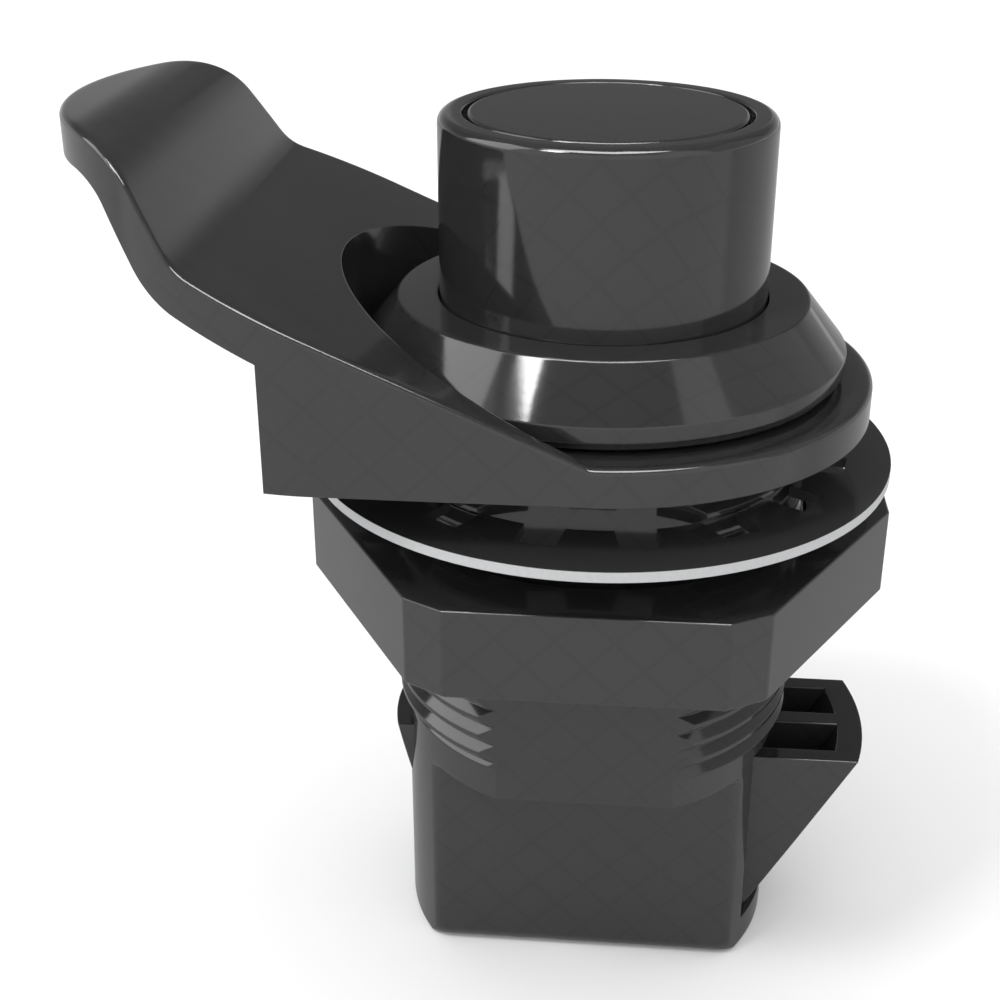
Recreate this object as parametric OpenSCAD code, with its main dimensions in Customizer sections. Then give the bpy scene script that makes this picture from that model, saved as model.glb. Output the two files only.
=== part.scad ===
// Push-to-close latch: a wedge bolt in a threaded body, drawn back by a push knob, with a finger grip.
// The origin is on the latch's axis, at the outer face of the lock washer. The bolt points along +X.

/* [Shank] */
// Crest diameter of the shank's thread
shank_d = 39.94; // [39.6:0.02:40]
// Distance from one turn of the thread to the next
thread_pitch = 2; // [1.6:0.1:2.4]
// Depth of the thread
thread_depth = 0.8; // [0.6:0.1:1]
// Distance across the shank's two flats
shank_flats = 34.36; // [33.8:0.02:34.8]
// Height of the shank above the lock washer
shank_top = 12.3; // [12.1:0.1:12.5]
// Depth below the lock washer at which the thread ends
thread_end = 27.5; // [27:0.1:28]

/* [Bolt case] */
// Distance across the case's flat sides
case_flats = 23.6; // [23.2:0.1:25]
// Depth of the case's top below the lock washer
case_top = 31.13; // [30.6:0.01:31.6]
// Depth of the case's underside below the lock washer
case_bottom = 53.8; // [53.4:0.1:56]
// Rounding of the case's bottom edge along its flat sides
case_round = 2; // [1:0.1:3]
// Rounding of the case's bottom edge along its round ends
end_round = 0.5; // [0.2:0.1:1.5]
// Depth of the bolt channel's roof
channel_roof = 29.9; // [29.6:0.1:30.3]
// Depth of the flared mouth where the bolt comes out
mouth_depth = 3.97; // [3:0.01:4.4]
// Thickness of the web between the shank's bore and the bolt channel
web_t = 2; // [1.6:0.1:2.2]
// Thickness of the case's floor
case_floor = 3.5; // [3:0.1:4]
// Thickness of the case's end wall, opposite the bolt
end_wall = 2.67; // [2.2:0.01:3]

/* [Bolt] */
// Reach of the bolt's nose from the latch's axis
bolt_reach = 28.35; // [27.8:0.05:29]
// Width of the bolt
bolt_w = 15.7; // [15:0.1:16]
// Depth of the bolt's top face below the lock washer
bolt_top = 31.07; // [30.9:0.01:31.3]
// How far the bolt's slanted nose leans in for each millimetre of depth
nose_lean = 0.518; // [0.49:0.002:0.54]
// Travel of the knob, and of the bolt
travel = 9.2; // [8.6:0.1:9.4]
// Width of the rib between the bolt's two pockets
rib_w = 2.1; // [1.8:0.1:2.4]
// Half the width over both pockets
pocket_reach_y = 5.9; // [5.7:0.1:6.1]
// Depth of the bolt's pockets
pocket_depth = 11.95; // [11.85:0.05:12.2]
// Wall between a pocket's end and the bolt's nose
nose_wall = 2.55; // [2:0.05:3]
// Width of the tail
tail_w = 10.6; // [10:0.1:11]
// Reach of the tail from the latch's axis
tail_reach = 20.6; // [20.2:0.1:21]

/* [Washer and nut] */
// Width of the lock washer's rim outside its notches
washer_rim = 4.18; // [3.6:0.02:5]
// Thickness of the lock washer
washer_t = 1.01; // [0.9:0.01:1.2]
// Number of notches in the washer's inner edge
notch_count = 16; // [12:1:20]
// Width of a notch
notch_w = 3.7; // [3:0.1:4]
// Depth of a notch from the washer's bore
notch_depth = 3.55; // [3:0.05:4]
// Wall of the nut at the middle of a flat
nut_wall = 5.38; // [4.8:0.02:6]
// How far the nut's corners stand out past its flats
nut_corner = 2.75; // [2.2:0.05:3]
// Height of the nut
nut_h = 8.75; // [8:0.05:9]
// Gap between the lock washer and the nut
nut_gap = 4.69; // [4.2:0.01:5]

/* [Finger grip] */
// Wall of the grip's ring outside its pocket
ring_wall = 1.25; // [1:0.05:1.6]
// Height of the grip's underside above the washer, which is the panel gap
panel_gap = 4.32; // [4.2:0.01:4.4]
// Thickness of the grip's ring
ring_t = 3.71; // [3.6:0.01:3.8]
// Reach of the paddle's tip past the grip's ring
grip_reach = 23.3; // [22.4:0.1:24.4]
// Slope of the grip's lower run, in degrees
ramp_angle = 23.85; // [23:0.05:24.5]
// Slope of the paddle's steep run, in degrees
steep_angle = 59; // [57:0.5:61]
// Distance of the first bend from the latch's axis
bend_x = 34.21; // [33.8:0.01:34.6]
// Height of the paddle's level tip above the washer
tip_h = 32.88; // [32.4:0.02:33.4]
// Radius of the first bend
bend_r = 3; // [2:0.1:4]
// Radius of the bend below the tip
tip_bend_r = 7.6; // [7:0.1:8]
// Thickness of the paddle
paddle_t = 3.65; // [3.4:0.05:3.8]
// Gap between the collar's widest edge and the wall of its round pocket
pocket_gap = 1.42; // [1:0.02:1.8]
// Distance of the skirt's end wall from the latch's axis
skirt_end = 27.3; // [27.1:0.1:27.6]
// Wall of the skirt
skirt_wall = 2.6; // [2.2:0.1:3]

/* [Collar and knob] */
// Wall of the collar at its widest edge
collar_wall = 2.61; // [2.2:0.01:3]
// Wall of the collar at its lower edge
collar_lip = 1.08; // [0.8:0.02:1.4]
// How far the collar's cone draws in up to its top face
cone_run = 4; // [3.4:0.1:4.6]
// Height of the collar's widest edge above the washer
collar_edge_h = 10.62; // [10.5:0.02:10.8]
// Height of the collar's top face above the washer
collar_h = 15.09; // [14.9:0.01:15.3]
// Diameter of the knob
knob_d = 30.64; // [30.2:0.02:30.7]
// Height of the knob's top above the washer
knob_h = 31.85; // [31.6:0.05:32.4]
// Length of the knob
knob_len = 26.25; // [25.8:0.05:26.6]
// Rounding of the knob's top edge
knob_round = 1.1; // [0.6:0.1:1.2]
// Wall of the knob's skirt
knob_wall = 2.3; // [2:0.1:2.5]
// Diameter of the cap disc
cap_d = 25.3; // [24.8:0.1:25.5]
// Thickness of the cap disc
cap_t = 1.6; // [1.4:0.1:1.8]
// Gap round the cap disc
cap_gap = 0.4; // [0.2:0.05:0.5]
// Width of the ledge that the cap disc rests on
cap_ledge = 0.85; // [0.7:0.05:1]
// Depth of the screw's room under the cap disc
screw_room = 3.85; // [3.7:0.05:4.2]
// Depth of the ring that centres the cap disc
cap_spigot = 1.6; // [1.2:0.1:2]
// Thickness of the web across the knob
knob_web_t = 3; // [2.6:0.1:3.4]
// Length of the boss under the web
boss_len = 4.4; // [4:0.1:5]
// Radius of the boss
boss_r = 6; // [5:0.1:6.5]

/* [Plunger and springs] */
// Diameter of the plunger's stem
stem_d = 11; // [10:0.5:12]
// Diameter of the plunger's guide flange
flange_d = 25; // [24.4:0.1:25]
// Height of the plunger's guide flange
flange_t = 3; // [2.6:0.1:3.4]
// Depth of the flange's top below the lock washer
flange_top = 6.5; // [6.4:0.1:6.8]
// Length of a prong's tip below the bolt's top
prong_dip = 2.43; // [2:0.01:2.6]
// Thickness of the return spring's wire
wire_d = 1.5; // [1.2:0.1:1.6]
// Mean diameter of the return spring
coil_d = 20.8; // [20.4:0.1:21]
// Depth of the bore for the bolt spring
spring_bore_len = 13; // [12:0.5:14]
// Height of the bolt spring's middle above the bolt's underside
spring_rise = 3.6; // [3.2:0.1:3.8]
// Thickness of the bolt spring's wire
bolt_wire_d = 0.6; // [0.5:0.05:0.7]
// Mean diameter of the bolt spring
bolt_coil_d = 3.8; // [3.7:0.05:3.9]

/* [Clearances] */
// Gap between parts that slide or are fitted loosely
fit = 0.3; // [0.25:0.01:0.32]
// Running gap between the knob and its bore
knob_gap = 0.1; // [0.06:0.01:0.14]
// Gap between a prong and its ramp in the bolt
cam_gap = 0.2; // [0.1:0.02:0.24]
// Gap between the collar's lower edge and the grip's ring
collar_gap = 0.42; // [0.3:0.02:0.5]

/* [Hidden] */
$fn = 96;
eps = 0.01;
black = "#2b2b2b";
steel = "#b9bcc0";

shank_r = shank_d / 2;
core_r = shank_r - thread_depth;
knob_r = knob_d / 2;
knob_bore_r = knob_r + knob_gap;
flange_r = flange_d / 2;
plunger_bore_r = flange_r + fit;
shelf_z = web_t - channel_roof;
channel_floor = -(case_bottom - case_floor);
channel_w = bolt_w + 2 * fit;
channel_end = -(core_r - end_wall);

shank_hole_r = shank_r + fit;
collar_r = shank_hole_r + collar_wall;
collar_top_r = collar_r - cone_run;
lip_r = shank_hole_r + collar_lip;
washer_r = shank_hole_r + notch_depth + washer_rim;
nut_r = shank_hole_r + nut_wall;
pocket_r = collar_r + pocket_gap;
grip_r = pocket_r + ring_wall;
paddle_reach = grip_r + grip_reach;

ring_top = panel_gap + ring_t;
ramp = tan(ramp_angle);
bend = [-bend_x, ring_top + ramp * bend_x];
tip_bend = [-(bend_x + (tip_h - bend[1]) / tan(steep_angle)), tip_h];

collar_low = ring_top + collar_gap;
knob_low = knob_h - knob_len;
shoulder_z = knob_low - travel - fit;
cap_low = knob_h - cap_t;
cap_seat_r = cap_d / 2 - cap_ledge;
web_top = cap_low - screw_room;
stem_top = web_top - knob_web_t - boss_len;
screw_r = 2.5;
screw_hole_r = screw_r + 0.1;
screw_len = 16.4;
screw_washer_t = 0.8;
head_r = 4.4;
head_h = 2.7;
hex_r = 2.3;

snap_ring_t = 1;
snap_ring_low = -flange_top + fit;
snap_ring_r = plunger_bore_r + 0.9;
flange_low = -(flange_top + flange_t);
spring_washer_t = 1;

prong_left = -5.7;
prong_right = 3;
prong_in_y = rib_w / 2 + fit;
prong_out_y = pocket_reach_y - fit;
prong_tip = -(bolt_top + prong_dip);
ramp_x = prong_left - fit;

body_back = channel_end + travel + fit;
bolt_bottom = channel_floor + fit;
tail_bottom = -37.9;
tail_side = -33.5;
tail_tip_lean = 0.22;
spring_z = bolt_bottom + spring_rise;
spring_bore_r = bolt_coil_d / 2 + bolt_wire_d / 2 + 0.4;
spring_bore_end = body_back + spring_bore_len;
pin_r = 1.2;
pin_seat = 1.6;
pin_len = 10;

// One point of a circular arc that starts at s and turns by sweep degrees about c
function turned(s, c, angle) = c + [
    (s[0] - c[0]) * cos(angle) - (s[1] - c[1]) * sin(angle),
    (s[0] - c[0]) * sin(angle) + (s[1] - c[1]) * cos(angle)
];

// Rounds the corner at p of a path that climbs to the left, from slope a to slope b
function climb_arc(p, a, b, r, steps) =
    let (
        turn = b - a,
        run = r * tan(abs(turn) / 2),
        start = p - run * [-cos(a), sin(a)],
        centre = start + sign(turn) * r * [sin(a), cos(a)]
    )
    [for (i = [0:steps]) turned(start, centre, -turn * i / steps)];

// The corner at p moved under the path by t
function under(p, a, b, t) = p - t / cos((b - a) / 2) * [sin((a + b) / 2), cos((a + b) / 2)];

// A coil of round wire about the Z axis, from z = low to z = high
module coil(mean_d, wire, low, high, turns, ring_sides = 8, steps_per_turn = 20) {
    steps = turns * steps_per_turn;
    first = low + wire / 2;
    climb = high - low - wire;
    points = [
        for (i = [0:steps], k = [0:ring_sides - 1])
            let (
                turn_angle = 360 * i / steps_per_turn,
                side = 360 * k / ring_sides,
                r = mean_d / 2 + wire / 2 * cos(side)
            )
            [r * cos(turn_angle), r * sin(turn_angle), first + climb * i / steps + wire / 2 * sin(side)]
    ];
    sides = [
        for (i = [0:steps - 1], k = [0:ring_sides - 1])
            let (next = (k + 1) % ring_sides)
            [
                i * ring_sides + k, i * ring_sides + next,
                (i + 1) * ring_sides + next, (i + 1) * ring_sides + k
            ]
    ];
    start_cap = [[for (k = [ring_sides - 1:-1:0]) k]];
    end_cap = [[for (k = [0:ring_sides - 1]) steps * ring_sides + k]];
    polyhedron(points = points, faces = concat(sides, start_cap, end_cap));
}

// A round bar with two flats facing the front and the back
module flatted_bar(r, flats, low, high) {
    intersection() {
        translate([0, 0, low]) cylinder(r = r, h = high - low);
        translate([-r, -flats / 2, low]) cube([2 * r, flats, high - low]);
    }
}

// The case below the shank, with its bottom edge rounded more along the flat sides than round the ends
module case_block() {
    low = -case_bottom;
    high = -case_top;
    intersection() {
        rotate_extrude() {
            translate([0, low + end_round]) square([core_r, high - low - end_round]);
            translate([0, low]) square([core_r - end_round, end_round]);
            translate([core_r - end_round, low + end_round]) circle(r = end_round);
        }
        rotate([90, 0, 90]) linear_extrude(height = 2 * shank_d, center = true) {
            translate([-case_flats / 2, low + case_round])
                square([case_flats, high - low - case_round]);
            translate([-case_flats / 2 + case_round, low])
                square([case_flats - 2 * case_round, case_round]);
            for (side = [-1, 1])
                translate([side * (case_flats / 2 - case_round), low + case_round])
                    circle(r = case_round);
        }
    }
}

// The bolt's way through the case, open to the right, with a flared mouth
module bolt_channel() {
    mouth = core_r - mouth_depth;
    flare = core_r - mouth + 1;
    half = channel_w / 2;
    translate([0, 0, channel_floor]) linear_extrude(height = -channel_roof - channel_floor)
        polygon([
            [channel_end, -half], [mouth, -half], [mouth + flare, -half - flare],
            [mouth + flare, half + flare], [mouth, half], [channel_end, half]
        ]);
}

// The window in the end wall that the bolt's tail comes out of
module tail_window() {
    top = -channel_roof + 0.3;
    half = tail_w / 2;
    rotate([90, 0, -90]) translate([0, 0, core_r / 2]) linear_extrude(height = core_r)
        polygon([
            [-half - 1.5, top], [half + 1.5, top], [half + 0.6, tail_side - 0.5],
            [half - 0.6, tail_bottom + 0.5], [half - 2.1, tail_bottom - 1.1],
            [2.1 - half, tail_bottom - 1.1], [0.6 - half, tail_bottom + 0.5],
            [-half - 0.6, tail_side - 0.5]
        ]);
}

// The shank with its thread, as one V groove for each turn, cut through by the two flats
module threaded_bar() {
    turns = floor((thread_end - thread_depth) / thread_pitch);
    intersection() {
        flatted_bar(shank_r, shank_flats, -thread_end, shank_top);
        rotate_extrude() difference() {
            translate([0, -thread_end]) square([shank_r, thread_end + shank_top]);
            for (i = [1:turns])
                translate([shank_r, -thread_end + i * thread_pitch])
                    polygon([[-thread_depth, 0], [eps, thread_depth + eps], [eps, -thread_depth - eps]]);
        }
    }
}

module housing() {
    color(black) difference() {
        union() {
            threaded_bar();
            flatted_bar(core_r, shank_flats, -case_top, -thread_end + eps);
            case_block();
        }
        translate([0, 0, shoulder_z]) cylinder(r = knob_bore_r, h = shank_top - shoulder_z + 1);
        translate([0, 0, shelf_z]) cylinder(r = plunger_bore_r, h = shoulder_z - shelf_z + 1);
        translate([0, 0, snap_ring_low - 0.1])
            cylinder(r = snap_ring_r + 0.1, h = snap_ring_t + 0.2);
        translate([prong_left - fit, -pocket_reach_y, -channel_roof - 1])
            cube([prong_right - prong_left + 2 * fit, 2 * pocket_reach_y, web_t + 2]);
        bolt_channel();
        tail_window();
        translate([channel_end + eps, 0, spring_z]) rotate([0, -90, 0])
            cylinder(r = pin_r + 0.05, h = pin_seat + 0.1);
    }
}

module fixing_nut() {
    color(black) translate([0, 0, -washer_t - nut_gap - nut_h]) linear_extrude(height = nut_h)
        difference() {
            intersection() {
                circle(r = nut_r / cos(30), $fn = 6);
                rotate(30) circle(r = (nut_r + nut_corner) / cos(30), $fn = 6);
            }
            circle(r = shank_hole_r);
        }
}

module lock_washer() {
    color(steel) translate([0, 0, -washer_t]) linear_extrude(height = washer_t)
        difference() {
            circle(r = washer_r);
            circle(r = shank_hole_r);
            for (i = [0:notch_count - 1])
                rotate(360 * (i + 0.5) / notch_count) intersection() {
                    translate([0, -notch_w / 2]) square([shank_hole_r + notch_depth, notch_w]);
                    circle(r = shank_hole_r + notch_depth);
                }
        }
}

// Two discs joined by a bar: the grip seen from above
module grip_plan(r) {
    circle(r = r);
    translate([-grip_reach, 0]) circle(r = r);
    translate([-grip_reach, -r]) square([grip_reach, 2 * r]);
}

// The grip seen from the front: ring and skirt, ramp, steep run and level tip
module grip_profile() {
    far = paddle_reach + 1;
    low_bend = under(bend, ramp_angle, steep_angle, paddle_t);
    low_tip = under(tip_bend, steep_angle, 0, paddle_t);
    skirt_top = ring_top + ramp * skirt_end - paddle_t / cos(ramp_angle);
    polygon(concat(
        [[grip_r + 1, panel_gap], [grip_r + 1, ring_top], [0, ring_top]],
        climb_arc(bend, ramp_angle, steep_angle, bend_r, 12),
        climb_arc(tip_bend, steep_angle, 0, tip_bend_r, 16),
        [[-far, tip_h], [-far, tip_h - paddle_t]],
        [for (i = [16:-1:0]) climb_arc(low_tip, steep_angle, 0, tip_bend_r - paddle_t, 16)[i]],
        [for (i = [12:-1:0]) climb_arc(low_bend, ramp_angle, steep_angle, bend_r + paddle_t, 12)[i]],
        [[-skirt_end, skirt_top], [-skirt_end, panel_gap]]
    ));
}

// The two hollows in the skirt's corners, open below
module skirt_hollows() {
    wall_r = pocket_r + skirt_wall;
    roof = [[0, ring_top - paddle_t], [-skirt_end, ring_top + ramp * skirt_end - 1.1 * paddle_t]];
    intersection() {
        translate([0, 0, panel_gap - 1]) linear_extrude(height = tip_h) difference() {
            intersection() {
                grip_plan(grip_r - skirt_wall);
                translate([-skirt_end + skirt_wall, -grip_r]) square([skirt_end, 2 * grip_r]);
            }
            circle(r = wall_r);
            translate([-wall_r / 2, -grip_r]) square(2 * grip_r);
        }
        rotate([90, 0, 0]) linear_extrude(height = 2 * grip_r, center = true)
            polygon([[0, 0], roof[0], roof[1], [-skirt_end, 0]]);
    }
}

module finger_grip() {
    color(black) difference() {
        intersection() {
            linear_extrude(height = tip_h + 1) grip_plan(grip_r);
            rotate([90, 0, 0]) linear_extrude(height = 2 * grip_r + 2, center = true) grip_profile();
        }
        translate([0, 0, ring_top]) cylinder(r = pocket_r, h = tip_h);
        flatted_bar(shank_hole_r, shank_flats + 2 * fit, panel_gap - 1, ring_top + 1);
        skirt_hollows();
    }
}

module collar() {
    color(black) rotate_extrude() polygon([
        [shank_hole_r, collar_low], [lip_r, collar_low], [collar_r, collar_edge_h],
        [collar_top_r, collar_h], [knob_bore_r, collar_h], [knob_bore_r, shank_top],
        [shank_hole_r, shank_top]
    ]);
}

module knob() {
    round_centre = [knob_r - knob_round, knob_h - knob_round];
    color(black) rotate_extrude() polygon(concat(
        [[knob_r, knob_low]],
        [for (a = [0:15:90]) round_centre + knob_round * [cos(a), sin(a)]],
        [
            [cap_d / 2 + cap_gap, knob_h], [cap_d / 2 + cap_gap, cap_low], [cap_seat_r, cap_low],
            [cap_seat_r, web_top], [screw_hole_r, web_top], [screw_hole_r, stem_top],
            [boss_r, stem_top], [boss_r, web_top - knob_web_t],
            [knob_r - knob_wall, web_top - knob_web_t], [knob_r - knob_wall, knob_low]
        ]
    ));
}

module knob_cap() {
    edge = 0.3;
    color(black) rotate_extrude() polygon([
        [0, cap_low], [cap_seat_r - 1.2, cap_low], [cap_seat_r - 1.2, cap_low - cap_spigot],
        [cap_seat_r - fit, cap_low - cap_spigot], [cap_seat_r - fit, cap_low], [cap_d / 2, cap_low],
        [cap_d / 2, knob_h - edge], [cap_d / 2 - edge, knob_h], [0, knob_h]
    ]);
}

module screw_washer() {
    color(steel) translate([0, 0, web_top]) difference() {
        cylinder(r = head_r + 0.8, h = screw_washer_t);
        translate([0, 0, -1]) cylinder(r = screw_hole_r, h = screw_washer_t + 2);
    }
}

module knob_screw() {
    head_low = web_top + screw_washer_t;
    color(steel) difference() {
        union() {
            translate([0, 0, head_low]) cylinder(r = head_r, h = head_h);
            translate([0, 0, head_low - screw_len]) cylinder(r = screw_r, h = screw_len + eps);
        }
        translate([0, 0, head_low + head_h - 1.8]) cylinder(r = hex_r, h = 2, $fn = 6);
    }
}

// One prong: a leg with a 45 degree face that runs on the bolt's ramp
module prong() {
    offset_x = cam_gap * sqrt(2);
    face_top = -bolt_top - (prong_left - ramp_x - offset_x);
    tip_x = ramp_x + offset_x + prong_dip;
    translate([0, prong_out_y, 0]) rotate([90, 0, 0])
        linear_extrude(height = prong_out_y - prong_in_y)
            polygon([
                [prong_left, flange_low + eps], [prong_right, flange_low + eps],
                [prong_right, prong_tip], [tip_x, prong_tip], [prong_left, face_top]
            ]);
}

module plunger() {
    color("#d8d4c8") difference() {
        union() {
            translate([0, 0, flange_low]) cylinder(r = flange_r, h = flange_t);
            translate([0, 0, -flange_top - eps]) cylinder(d = stem_d, h = stem_top + flange_top + eps);
            prong();
            mirror([0, 1, 0]) prong();
        }
        translate([0, 0, web_top + screw_washer_t - screw_len - 0.5])
            cylinder(r = screw_hole_r, h = screw_len);
    }
}

module retaining_ring() {
    gap_w = 5;
    color(steel) translate([0, 0, snap_ring_low]) linear_extrude(height = snap_ring_t)
        difference() {
            circle(r = snap_ring_r);
            circle(r = plunger_bore_r - 1.4);
            translate([0, -gap_w / 2]) square([snap_ring_r + 1, gap_w]);
        }
}

module return_spring() {
    color(steel) coil(coil_d, wire_d, shelf_z + spring_washer_t, flange_low, 5);
}

module spring_washer() {
    color(steel) translate([0, 0, shelf_z]) difference() {
        cylinder(r = plunger_bore_r - 0.4, h = spring_washer_t);
        translate([0, 0, -1]) cylinder(r = coil_d / 2 - wire_d, h = spring_washer_t + 2);
    }
}

// The tapered end of the tail, with narrower lower corners
module tail() {
    depth = -bolt_top - tail_bottom;
    half = tail_w / 2;
    intersection() {
        rotate_extrude() polygon([
            [0, tail_bottom], [tail_reach - tail_tip_lean * depth, tail_bottom],
            [tail_reach, -bolt_top], [0, -bolt_top]
        ]);
        rotate([90, 0, -90]) linear_extrude(height = tail_reach + 1)
            polygon([
                [-half, -bolt_top], [half, -bolt_top], [half, tail_side],
                [half - 1.3, tail_bottom], [1.3 - half, tail_bottom], [-half, tail_side]
            ]);
        translate([-tail_reach - 1, -half, tail_bottom])
            cube([tail_reach + 1 + body_back + 1, tail_w, depth]);
    }
}

// One pocket in the bolt's top: a ramp at its inner end and a slanted wall behind the nose
module bolt_pocket() {
    floor_z = -bolt_top - pocket_depth;
    end_r = bolt_reach - nose_wall;
    intersection() {
        translate([0, pocket_reach_y, 0]) rotate([90, 0, 0])
            linear_extrude(height = pocket_reach_y - rib_w / 2)
                polygon([
                    [ramp_x - 1, -bolt_top + 1], [bolt_reach, -bolt_top + 1],
                    [bolt_reach, floor_z], [ramp_x + pocket_depth, floor_z]
                ]);
        rotate_extrude() polygon([
            [0, floor_z - 1], [end_r - nose_lean * (pocket_depth + 1), floor_z - 1],
            [end_r, -bolt_top], [end_r, -bolt_top + 1], [0, -bolt_top + 1]
        ]);
    }
}

module bolt() {
    depth = -bolt_top - bolt_bottom;
    color(black) difference() {
        union() {
            intersection() {
                rotate_extrude() polygon([
                    [0, bolt_bottom], [bolt_reach - nose_lean * depth, bolt_bottom],
                    [bolt_reach, -bolt_top], [0, -bolt_top]
                ]);
                translate([body_back, -bolt_w / 2, bolt_bottom])
                    cube([bolt_reach - body_back, bolt_w, depth]);
            }
            tail();
        }
        bolt_pocket();
        mirror([0, 1, 0]) bolt_pocket();
        translate([spring_bore_end, 0, spring_z]) rotate([0, -90, 0])
            cylinder(r = spring_bore_r, h = spring_bore_end - body_back + 1);
    }
}

module bolt_spring() {
    color(steel) translate([0, 0, spring_z]) rotate([0, 90, 0])
        coil(bolt_coil_d, bolt_wire_d, channel_end, spring_bore_end, 12, 6, 14);
}

module spring_pin() {
    color(steel) translate([channel_end - pin_seat, 0, spring_z]) rotate([0, 90, 0])
        cylinder(r = pin_r, h = pin_seat + pin_len);
}

housing();
fixing_nut();
lock_washer();
finger_grip();
collar();
knob();
knob_cap();
knob_screw();
screw_washer();
plunger();
retaining_ring();
return_spring();
spring_washer();
bolt();
bolt_spring();
spring_pin();
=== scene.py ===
"""Dresses the push-to-close latch: rounded mouldings, a real thread, coiled springs and studio light."""
import logging
import math
from dataclasses import dataclass, field
from enum import Enum

import bmesh
import bpy
import numpy as np
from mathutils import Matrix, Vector


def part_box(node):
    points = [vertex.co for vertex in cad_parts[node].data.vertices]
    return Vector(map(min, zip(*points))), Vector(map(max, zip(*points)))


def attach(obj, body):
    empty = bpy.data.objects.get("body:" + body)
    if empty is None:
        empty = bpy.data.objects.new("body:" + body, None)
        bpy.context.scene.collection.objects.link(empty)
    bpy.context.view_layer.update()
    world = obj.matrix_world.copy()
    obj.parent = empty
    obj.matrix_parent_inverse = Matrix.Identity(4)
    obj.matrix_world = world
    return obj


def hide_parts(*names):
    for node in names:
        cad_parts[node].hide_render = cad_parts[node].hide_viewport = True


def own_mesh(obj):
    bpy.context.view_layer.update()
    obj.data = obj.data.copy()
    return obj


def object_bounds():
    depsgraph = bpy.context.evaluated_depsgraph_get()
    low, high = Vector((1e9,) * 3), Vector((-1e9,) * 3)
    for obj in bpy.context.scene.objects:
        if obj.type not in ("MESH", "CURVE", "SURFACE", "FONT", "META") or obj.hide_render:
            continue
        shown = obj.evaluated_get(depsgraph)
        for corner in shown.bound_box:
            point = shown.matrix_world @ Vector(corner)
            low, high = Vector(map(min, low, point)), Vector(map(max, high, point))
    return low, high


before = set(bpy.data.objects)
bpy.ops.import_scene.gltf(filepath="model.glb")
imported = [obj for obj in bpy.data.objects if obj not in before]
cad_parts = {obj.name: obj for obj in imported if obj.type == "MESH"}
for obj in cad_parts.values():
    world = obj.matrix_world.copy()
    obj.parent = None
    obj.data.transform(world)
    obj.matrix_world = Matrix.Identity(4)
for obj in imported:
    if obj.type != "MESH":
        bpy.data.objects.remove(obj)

LOG = logging.getLogger("latch")
MM = 0.001
CAD_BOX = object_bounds()
FLOOR_Z = CAD_BOX[0].z
SHANK_HOLE = 20.27  # radius of a hole that clears the shank's thread crests
KNOB_HOLE = 15.42  # radius of a hole that the knob slides in


class Seam(Enum):
    """How a grid of points closes on itself."""

    RING = "closed round the first parameter"
    TORUS = "closed round both parameters"
    WELDED = "open, with its two sides lying on each other"


def linear(hex_colour: str) -> tuple[float, float, float, float]:
    """Turns an sRGB hex colour into linear RGBA.

    Args:
        hex_colour: six hex digits after a hash sign.

    Returns:
        The linear colour with an alpha of 1.
    """
    channels = [int(hex_colour[i:i + 2], 16) / 255 for i in (1, 3, 5)]
    curve = [c / 12.92 if c <= 0.04045 else ((c + 0.055) / 1.055) ** 2.4 for c in channels]
    return (*curve, 1.0)


def add_node(tree: bpy.types.NodeTree, kind: str, settings: dict | None = None,
             inputs: dict | None = None) -> bpy.types.Node:
    """Adds one shader node with its settings, values and links.

    Args:
        tree: the node tree.
        kind: Blender's name of the node's class.
        settings: attributes of the node.
        inputs: values, or sockets to link from, by the input's name or number.

    Returns:
        The new node.
    """
    node = tree.nodes.new(kind)
    for name, value in (settings or {}).items():
        setattr(node, name, value)
    for name, value in (inputs or {}).items():
        if isinstance(value, bpy.types.NodeSocket):
            tree.links.new(value, node.inputs[name])
        else:
            node.inputs[name].default_value = value
    return node


def rounded_path(corners: list[tuple[float, float, float]], steps: int = 6) -> np.ndarray:
    """Rounds the corners of an open path in the radius-height plane.

    Each corner of radius f is replaced by the arc that touches both of its sides: the arc starts and
    ends f * tan(turn / 2) from the corner.

    Args:
        corners: radius, height and rounding of each corner, in millimetres.
        steps: number of chords in each arc.

    Returns:
        The points of the rounded path, one row each.
    """
    spots = np.array([c[:2] for c in corners], float)
    points = [spots[0]]
    for i in range(1, len(corners) - 1):
        before = spots[i] - spots[i - 1]
        after = spots[i + 1] - spots[i]
        before /= np.linalg.norm(before)
        after /= np.linalg.norm(after)
        turn = math.atan2(before[0] * after[1] - before[1] * after[0], float(before @ after))
        radius = corners[i][2]
        if radius <= 0 or abs(turn) < 1e-4:
            points.append(spots[i])
            continue
        start = spots[i] - before * radius * math.tan(abs(turn) / 2)
        normal = np.array([-before[1], before[0]]) * math.copysign(1, turn)
        centre = start + normal * radius
        for angle in np.linspace(0, turn, steps + 1):
            c, s = math.cos(angle), math.sin(angle)
            arm = start - centre
            points.append(centre + np.array([arm[0] * c - arm[1] * s, arm[0] * s + arm[1] * c]))
    points.append(spots[-1])
    return np.array(points)


def turned(profile: np.ndarray, around: int = 192) -> np.ndarray:
    """Turns a profile about the Z axis: x = r cos a, y = r sin a, z = h.

    Args:
        profile: radius and height of each point.
        around: number of points round the axis.

    Returns:
        An array of around x points x 3.
    """
    angle = np.linspace(0, 2 * np.pi, around, endpoint=False)[:, None]
    radius, height = profile[None, :, 0], profile[None, :, 1]
    return np.stack([radius * np.cos(angle), radius * np.sin(angle), height + 0 * angle], axis=-1)


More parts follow.
